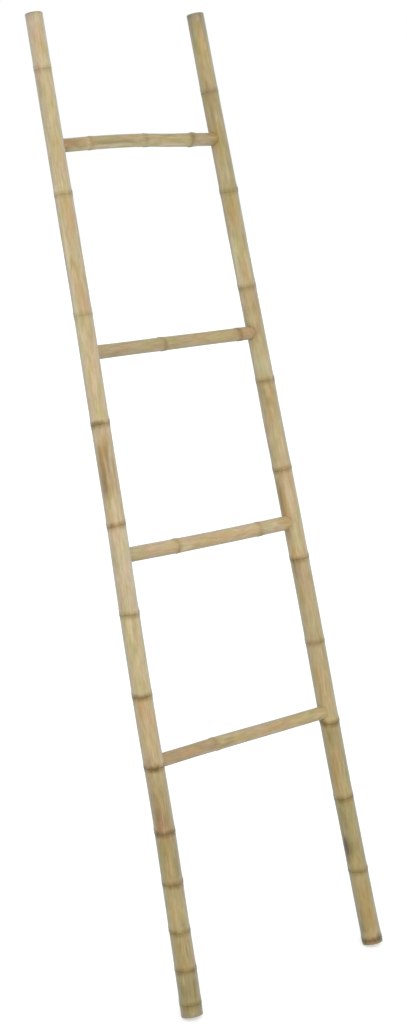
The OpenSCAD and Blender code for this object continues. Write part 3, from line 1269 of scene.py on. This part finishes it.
def rung_cutters(cane):
    """The peg holes, which come in from the back, where x is negative."""
    radius = cane.girth[0][1] / 2
    holes = []
    for along, _ in cane.pegs:
        bottom, mouth = (PEG_DEPTH - radius, 0, along), (-2 * radius, 0, along)
        holes.append(rod(PEG_HOLE_R, bottom, mouth, HOLE_SEGMENTS))
    return holes


def show(name, mesh, node, material):
    """Makes the piece from its mesh and lets it stand for its solid."""
    mesh.materials.clear()
    mesh.materials.append(material)
    mesh.polygons.foreach_set("use_smooth", [True] * len(mesh.polygons))
    mesh.set_sharp_from_angle(angle=SHARP_EDGE)
    piece = into_scene(name, mesh)
    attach(piece, "root")
    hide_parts(node)


def make_cane(cane, cutter_sets, material):
    mesh = to_mesh(cane_bmesh(cane), cane.node)
    for cutters in cutter_sets:
        mesh = drilled(mesh, cutters)
    paint(cane, mesh)
    set_in_place(cane, mesh)
    show(f"{cane.node}_cane", mesh, cane.node, material)


def make_peg(i, side, material):
    """A whittled peg, a little out of round, with a broken edge at its driven end."""
    height = end_height(i, side)
    rail = RAILS[side]
    back = math.pi / 2
    outer = float(skin_radius(rail, height / math.cos(SPLAY), back)) + PEG_PROUD
    inner = rung_radius(i) - PEG_DEPTH + 0.3
    angle = np.linspace(0, 2 * math.pi, PEG_SEGMENTS, endpoint=False)
    facets = 1 + 0.025 * np.cos(7 * angle + i) + 0.01 * np.cos(2 * angle + side)
    rows = [
        (inner, 0.7),
        (inner + 0.6, 0.95),
        (inner + 4, 1),
        (outer - 2, 0.99),
        (outer - 0.3, 1.01),
        (outer, 0.86),
    ]
    loops = [(np.full(len(angle), out), PEG_D / 2 * share * facets) for out, share in rows]
    mesh = to_mesh(turned(loops, angle), f"peg_{i}")
    own = points_of(mesh) + 30 * i + 7 * side
    set_attribute(mesh, "cane", own / 1000)
    stand = Matrix.Translation((rail_middle(side, height), 0, height)) @ Matrix.Rotation(-back, 4, "X")
    mesh.transform(Matrix.Scale(0.001, 4) @ ladder_to_world() @ stand)
    node = f"peg_{i}_{'left' if side == LEFT else 'right'}"
    show(f"{node}_bamboo", mesh, node, material)


# Floor, lights and camera

# The floor's disc in metres, its grey, and the light that it adds where the camera sees it
FLOOR_RADIUS = 14
FLOOR_GREY = (0.85, 0.85, 0.85, 1)
FLOOR_GLOW = 0.45

# What shines on the ladder
WHITE = (1, 1, 1, 1)
FILL_COLOUR = (0.90, 0.95, 1, 1)
FILL_STRENGTH = 0.62
LAMP_COLOUR = (1, 0.955, 0.865)

# The camera's place in metres, its turn and pitch in degrees, its sensor's height in millimetres, and
# its focal length in pixels of an image this high
CAMERA_PLACE = (-2.4015, -2.6116, 1.8061)
CAMERA_TURN = 40
CAMERA_PITCH = 13.702
SENSOR = 36
FOCAL_PIXELS = 1979.1
IMAGE_HEIGHT = 1024


def make_floor():
    """A plain pale floor that shows the ladder's shadow and goes over into the white behind it."""
    s = Nodes(bpy.data.materials.new("studio_floor"))
    camera_ray = s.node("LightPath", {})["Is Camera Ray"]
    matt = s.node("BsdfDiffuse", {"Color": FLOOR_GREY})
    glow = s.node("Emission", {"Color": WHITE, "Strength": s.times(camera_ray, FLOOR_GLOW)})
    both = s.node("AddShader", {0: matt[0], 1: glow[0]})
    s.node("OutputMaterial", {"Surface": both[0]})
    bm = bmesh.new()
    bmesh.ops.create_circle(bm, cap_ends=True, segments=64, radius=FLOOR_RADIUS)
    floor = into_scene("floor", to_mesh(bm, "floor"))
    floor.data.materials.append(s.owner)


def make_world():
    """White where the camera or a reflection looks past the ladder, and a soft cool fill otherwise."""
    bpy.context.scene.world = bpy.data.worlds.new("studio")
    s = Nodes(bpy.context.scene.world)
    rays = s.node("LightPath", {})
    mirrored = s.math("MAXIMUM", rays["Is Glossy Ray"], rays["Is Transmission Ray"])
    seen = s.math("MAXIMUM", rays["Is Camera Ray"], mirrored)
    fill = s.node("Background", {"Color": FILL_COLOUR, "Strength": FILL_STRENGTH})
    white = s.node("Background", {"Color": WHITE})
    both = s.node("MixShader", {0: seen, 1: fill[0], 2: white[0]})
    s.node("OutputWorld", {"Surface": both[0]})


def make_sun(name, azimuth, elevation, strength, spread):
    """A broad soft lamp. Azimuth is where it stands: 0 in front of the ladder, positive to its right."""
    lamp = bpy.data.lights.new(name, "SUN")
    lamp.energy = strength
    lamp.angle = math.radians(spread)
    lamp.color = LAMP_COLOUR
    sun = into_scene(name, lamp)
    a, e = math.radians(azimuth), math.radians(elevation)
    stands = Vector((math.sin(a) * math.cos(e), -math.cos(a) * math.cos(e), math.sin(e)))
    sun.rotation_mode = "QUATERNION"
    sun.rotation_quaternion = stands.to_track_quat("Z", "Y")


def make_camera():
    """The photograph's view: from the front left, a little above the top of the ladder's middle."""
    turn = math.radians(CAMERA_TURN)
    pitch = math.radians(CAMERA_PITCH)
    data = bpy.data.cameras.new("camera")
    data.sensor_width = SENSOR
    data.lens = FOCAL_PIXELS * SENSOR / IMAGE_HEIGHT
    data.clip_end = 100
    camera = into_scene("camera", data)
    across = Vector((math.cos(turn), -math.sin(turn), 0))
    level = math.cos(pitch)
    ahead = Vector((math.sin(turn) * level, math.cos(turn) * level, -math.sin(pitch)))
    up = across.cross(ahead)
    axes = Matrix((across, up, -ahead)).transposed()
    camera.matrix_world = Matrix.Translation(CAMERA_PLACE) @ axes.to_4x4()
    bpy.context.scene.camera = camera


plan_joinery()
rail_skin = {
    LEFT: bamboo("rail_left_bamboo", gloss=0.38, bloom=0.4),
    RIGHT: bamboo("rail_right_bamboo", gloss=0.40, bloom=0.4),
}
for side, rail in RAILS.items():
    make_cane(rail, rail_cutters(side, rail), rail_skin[side])
rung_skin = bamboo("rung_bamboo", gloss=0.40, bloom=0.15)
for cane in RUNGS:
    make_cane(cane, [rung_cutters(cane)], rung_skin)
split = peg_bamboo()
for i in range(1, RUNG_COUNT + 1):
    for side in (LEFT, RIGHT):
        make_peg(i, side, split)
make_floor()
make_world()
make_sun("key", azimuth=-35, elevation=33, strength=1.34, spread=55)
make_sun("fill", azimuth=50, elevation=30, strength=0.28, spread=80)
make_camera()
bpy.context.scene.view_settings.view_transform = "Standard"
